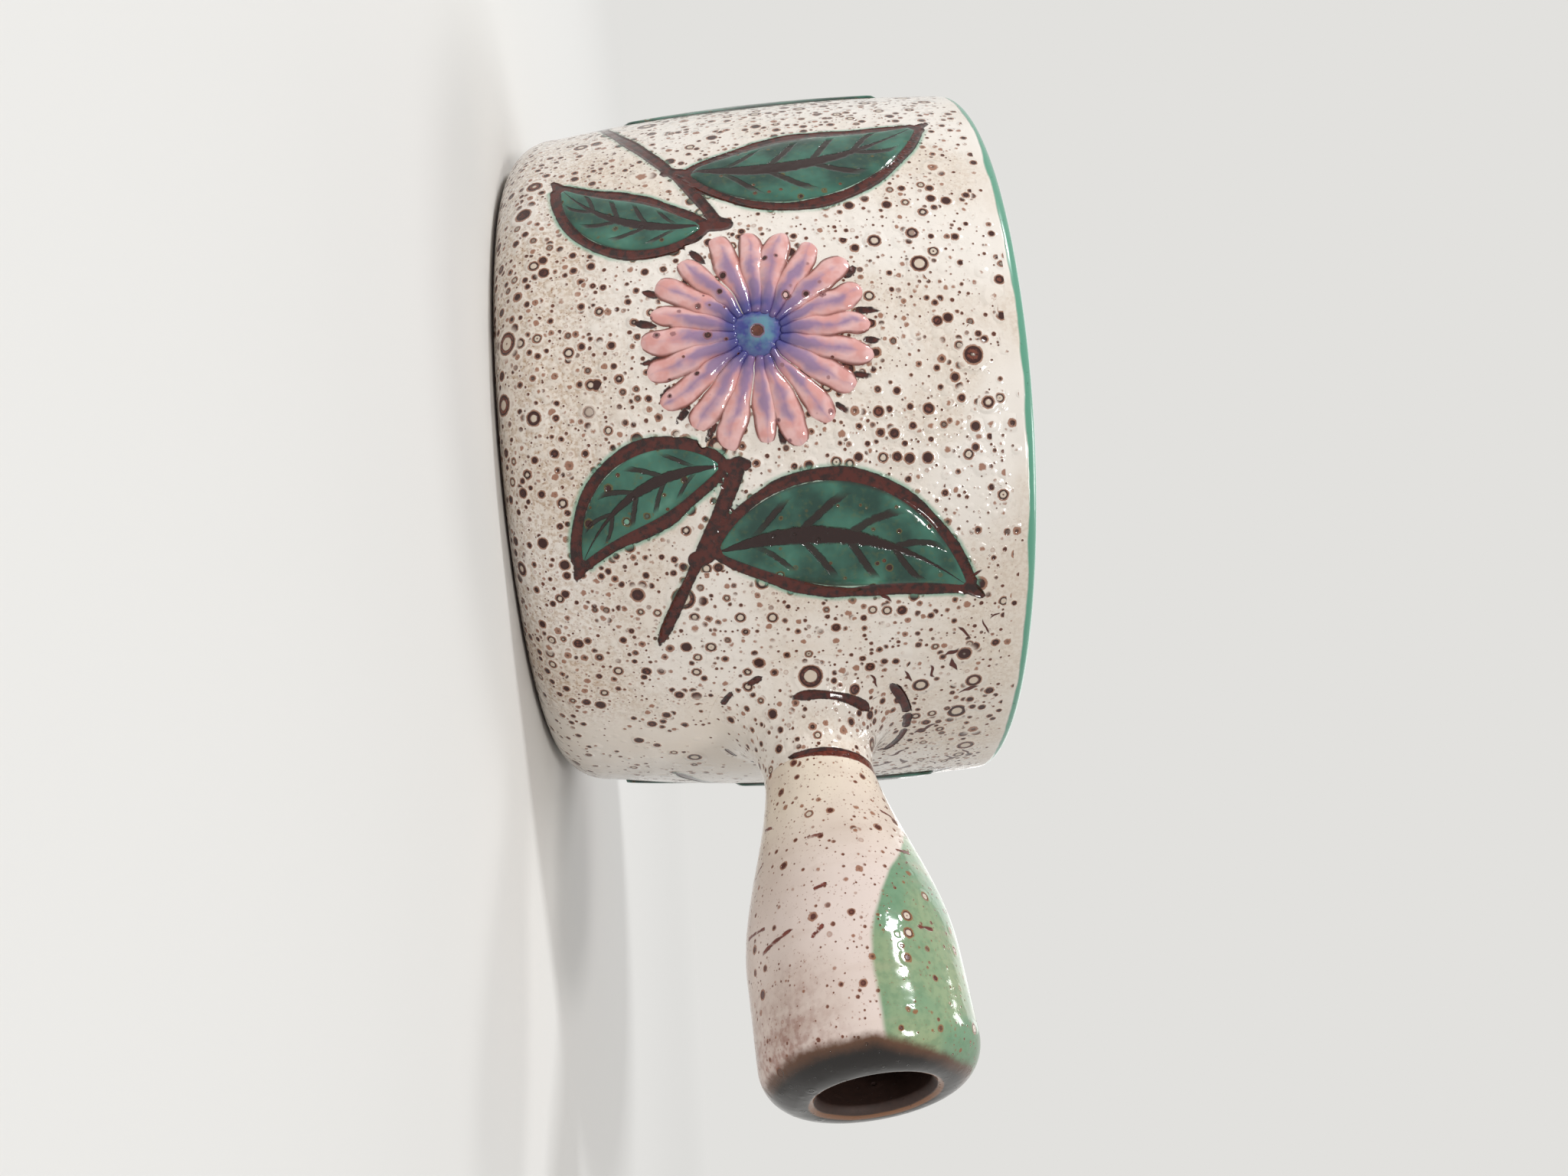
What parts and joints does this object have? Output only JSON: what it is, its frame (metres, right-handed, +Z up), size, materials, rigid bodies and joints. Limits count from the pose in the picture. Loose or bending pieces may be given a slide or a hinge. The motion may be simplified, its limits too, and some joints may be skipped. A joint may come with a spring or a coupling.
{
  "type": "ceramic frying pan",
  "caption": "Deep drum-shaped glazed ceramic pan with a hollow, open-ended side handle, a luted collar at its root and low enamel relief of blooms and leaves on the wall.",
  "frame": {"origin": "centre of the flat underside that the pan stands on", "axes": "+Z up along the pan's axis, +X from the pan's axis towards the handle's end"},
  "size_m": [0.2363, 0.1634, 0.1],
  "materials": {
    "crater_glaze": "glossy cream glaze with brown craters",
    "handle_glaze": "glossy cream glaze with brown specks",
    "leaf_green": "glossy turquoise-green enamel",
    "petal_pink": "glossy pink enamel",
    "heart_blue": "glossy violet-blue enamel"
  },
  "bodies": {
    "root": {"pan_body": "crater_glaze", "handle_grip": "handle_glaze", "handle_collar": "crater_glaze", "front_petals": "petal_pink", "front_heart": "heart_blue", "front_tall_leaf_left": "leaf_green", "front_tall_leaf_right": "leaf_green", "front_short_leaf_left": "leaf_green", "front_short_leaf_right": "leaf_green", "front_middle_leaf": "leaf_green", "back_petals": "petal_pink", "back_heart": "heart_blue", "back_tall_leaf_left": "leaf_green", "back_tall_leaf_right": "leaf_green", "back_short_leaf_left": "leaf_green", "back_short_leaf_right": "leaf_green", "back_middle_leaf": "leaf_green", "far_petals": "petal_pink", "far_heart": "heart_blue", "far_tall_leaf_left": "leaf_green", "far_tall_leaf_right": "leaf_green", "far_short_leaf_left": "leaf_green", "far_short_leaf_right": "leaf_green"}
  },
  "joints": []
}
